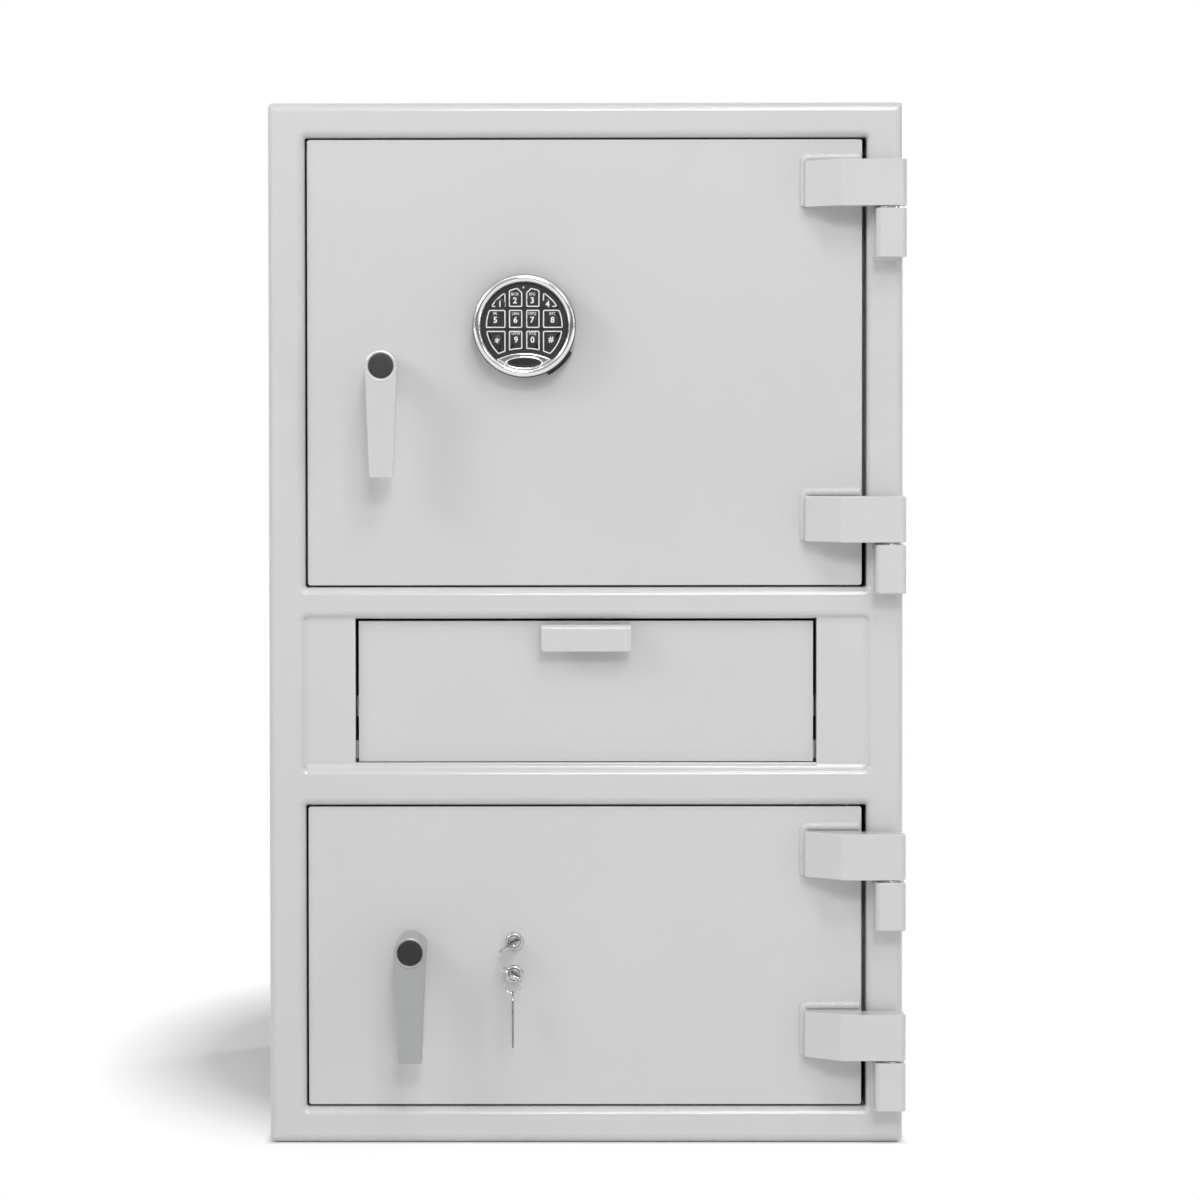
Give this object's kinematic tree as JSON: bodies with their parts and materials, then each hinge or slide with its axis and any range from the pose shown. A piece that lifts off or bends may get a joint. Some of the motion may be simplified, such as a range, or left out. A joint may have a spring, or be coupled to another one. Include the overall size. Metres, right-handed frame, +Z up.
{
  "type": "drop safe with deposit drawer",
  "caption": "Tall grey steel drop safe: a keypad door above, a deposit drawer between, and a door with key locks below",
  "frame": {"origin": "centre of the base's underside, on the floor", "axes": "+Z up, -Y out of the front with the doors, +X to the right as seen from the front"},
  "size_m": [0.518, 0.5373, 0.85],
  "materials": {
    "frame_paint": "fine-textured satin light grey powder coat",
    "inner_paint": "plain satin grey powder coat inside",
    "silver_paint": "silver-grey semi-gloss paint",
    "chrome": "bright plating",
    "zinc": "zinc-plated steel",
    "black": "black moulded plastic"
  },
  "bodies": {
    "safe_body": {"front_frame": "frame_paint", "body_wrap": "frame_paint", "floor_plate": "inner_paint", "back_plate": "frame_paint", "bay_roof": "inner_paint", "drawer_housing": "frame_paint", "fixed_runner_left": "zinc", "fixed_runner_right": "zinc", "upper_hinge_knuckle_top": "frame_paint", "upper_hinge_knuckle_bottom": "frame_paint", "lower_hinge_knuckle_top": "frame_paint", "lower_hinge_knuckle_bottom": "frame_paint"},
    "upper_door": {"upper_door_plate": "frame_paint", "upper_door_case": "inner_paint", "upper_hinge_leaf_top": "frame_paint", "upper_hinge_leaf_bottom": "frame_paint", "upper_lock_case": "zinc", "keypad_base": "black", "keypad_bezel": "chrome", "keypad_face": "black"},
    "upper_handle_body": {"upper_handle": "silver_paint", "upper_handle_cap": "black", "upper_handle_spindle": "zinc"},
    "upper_boltwork_body": {"upper_boltwork": "zinc"},
    "upper_lock_bolt_body": {"upper_lock_bolt": "zinc"},
    "lower_door": {"lower_door_plate": "frame_paint", "lower_door_case": "inner_paint", "lower_hinge_leaf_top": "frame_paint", "lower_hinge_leaf_bottom": "frame_paint", "lower_lock_case": "chrome"},
    "lower_handle_body": {"lower_handle": "silver_paint", "lower_handle_cap": "black", "lower_handle_spindle": "zinc"},
    "lower_boltwork_body": {"lower_boltwork": "zinc"},
    "lower_lock_bolt_body": {"lower_lock_bolt": "zinc"},
    "upper_plug_body": {"upper_plug": "chrome", "upper_key": "chrome"},
    "lower_plug_body": {"lower_plug": "chrome", "lower_key": "chrome"},
    "key_ring_body": {"key_ring": "chrome"},
    "spare_key_body": {"spare_key": "chrome"},
    "drawer": {"drawer_front": "frame_paint", "drawer_pull": "frame_paint", "drawer_tray": "inner_paint", "moving_runner_left": "zinc", "moving_runner_right": "zinc"},
    "drop_floor_body": {"drop_floor": "inner_paint"},
    "key_1_body": {"key_1": "black"},
    "key_2_body": {"key_2": "black"},
    "key_3_body": {"key_3": "black"},
    "key_4_body": {"key_4": "black"},
    "key_5_body": {"key_5": "black"},
    "key_6_body": {"key_6": "black"},
    "key_7_body": {"key_7": "black"},
    "key_8_body": {"key_8": "black"},
    "key_star_body": {"key_star": "black"},
    "key_9_body": {"key_9": "black"},
    "key_0_body": {"key_0": "black"},
    "key_hash_body": {"key_hash": "black"}
  },
  "joints": [
    {"name": "upper_door_swing", "type": "hinge", "parent": "safe_body", "child": "upper_door", "pos_m": [0.24675, -0.265, 0.638], "axis": [0, 0, 1], "range_deg": [0, 180]},
    {"name": "lower_door_swing", "type": "hinge", "parent": "safe_body", "child": "lower_door", "pos_m": [0.24675, -0.265, 0.153], "axis": [0, 0, 1], "range_deg": [0, 180]},
    {"name": "upper_handle_turn", "type": "hinge", "parent": "upper_door", "child": "upper_handle_body", "pos_m": [-0.1655, -0.265, 0.6353], "axis": [0, 1, 0], "range_deg": [0, 90]},
    {"name": "upper_boltwork_slide", "type": "slide", "parent": "upper_door", "child": "upper_boltwork_body", "axis": [-1, 0, 0], "range_m": [0, 0.018]},
    {"name": "upper_lock_bolt_slide", "type": "slide", "parent": "upper_door", "child": "upper_lock_bolt_body", "axis": [-1, 0, 0], "range_m": [0, 0.008]},
    {"name": "lower_handle_turn", "type": "hinge", "parent": "lower_door", "child": "lower_handle_body", "pos_m": [-0.143, -0.265, 0.1608], "axis": [0, 1, 0], "range_deg": [0, 90]},
    {"name": "lower_boltwork_slide", "type": "slide", "parent": "lower_door", "child": "lower_boltwork_body", "axis": [-1, 0, 0], "range_m": [0, 0.018]},
    {"name": "lower_lock_bolt_slide", "type": "slide", "parent": "lower_door", "child": "lower_lock_bolt_body", "axis": [-1, 0, 0], "range_m": [0, 0.008]},
    {"name": "drawer_slide", "type": "slide", "parent": "safe_body", "child": "drawer", "axis": [0, -1, 0], "range_m": [0, 0.2]},
    {"name": "floor_tip", "type": "hinge", "parent": "drawer", "child": "drop_floor_body", "pos_m": [0, -0.226, 0.335], "axis": [1, 0, 0], "range_deg": [0, 25]},
    {"name": "key_1_press", "type": "slide", "parent": "upper_door", "child": "key_1_body", "axis": [0, 1, 0], "range_m": [0, 0.0007], "stiffness_N_per_m": 700},
    {"name": "key_2_press", "type": "slide", "parent": "upper_door", "child": "key_2_body", "axis": [0, 1, 0], "range_m": [0, 0.0007], "stiffness_N_per_m": 700},
    {"name": "key_3_press", "type": "slide", "parent": "upper_door", "child": "key_3_body", "axis": [0, 1, 0], "range_m": [0, 0.0007], "stiffness_N_per_m": 700},
    {"name": "key_4_press", "type": "slide", "parent": "upper_door", "child": "key_4_body", "axis": [0, 1, 0], "range_m": [0, 0.0007], "stiffness_N_per_m": 700},
    {"name": "key_5_press", "type": "slide", "parent": "upper_door", "child": "key_5_body", "axis": [0, 1, 0], "range_m": [0, 0.0007], "stiffness_N_per_m": 700},
    {"name": "key_6_press", "type": "slide", "parent": "upper_door", "child": "key_6_body", "axis": [0, 1, 0], "range_m": [0, 0.0007], "stiffness_N_per_m": 700},
    {"name": "key_7_press", "type": "slide", "parent": "upper_door", "child": "key_7_body", "axis": [0, 1, 0], "range_m": [0, 0.0007], "stiffness_N_per_m": 700},
    {"name": "key_8_press", "type": "slide", "parent": "upper_door", "child": "key_8_body", "axis": [0, 1, 0], "range_m": [0, 0.0007], "stiffness_N_per_m": 700},
    {"name": "key_star_press", "type": "slide", "parent": "upper_door", "child": "key_star_body", "axis": [0, 1, 0], "range_m": [0, 0.0007], "stiffness_N_per_m": 700},
    {"name": "key_9_press", "type": "slide", "parent": "upper_door", "child": "key_9_body", "axis": [0, 1, 0], "range_m": [0, 0.0007], "stiffness_N_per_m": 700},
    {"name": "key_0_press", "type": "slide", "parent": "upper_door", "child": "key_0_body", "axis": [0, 1, 0], "range_m": [0, 0.0007], "stiffness_N_per_m": 700},
    {"name": "key_hash_press", "type": "slide", "parent": "upper_door", "child": "key_hash_body", "axis": [0, 1, 0], "range_m": [0, 0.0007], "stiffness_N_per_m": 700},
    {"name": "upper_plug_turn", "type": "hinge", "parent": "lower_door", "child": "upper_plug_body", "pos_m": [-0.0588, -0.24, 0.1645], "axis": [0, 1, 0], "range_deg": [0, 90]},
    {"name": "lower_plug_turn", "type": "hinge", "parent": "lower_door", "child": "lower_plug_body", "pos_m": [-0.0588, -0.24, 0.1377], "axis": [0, 1, 0], "range_deg": [0, 90]},
    {"name": "key_ring_swing", "type": "hinge", "parent": "lower_plug_body", "child": "key_ring_body", "pos_m": [-0.05995, -0.2636, 0.13866], "axis": [1, 0, 0], "range_deg": [-45, 8]},
    {"name": "spare_key_swing", "type": "hinge", "parent": "key_ring_body", "child": "spare_key_body", "pos_m": [-0.05995, -0.2636, 0.12486], "axis": [1, 0, 0], "range_deg": [-45, 8]}
  ],
  "couplings": [
    {"joint": "upper_boltwork_slide", "follows": "upper_handle_turn", "m_per_rad": 0.01145},
    {"joint": "upper_lock_bolt_slide", "follows": "upper_handle_turn", "m_per_rad": 0.00509},
    {"joint": "lower_boltwork_slide", "follows": "lower_handle_turn", "m_per_rad": 0.01145},
    {"joint": "lower_lock_bolt_slide", "follows": "lower_handle_turn", "m_per_rad": 0.00509},
    {"joint": "floor_tip", "follows": "drawer_slide", "rad_per_m": 2.181}
  ]
}
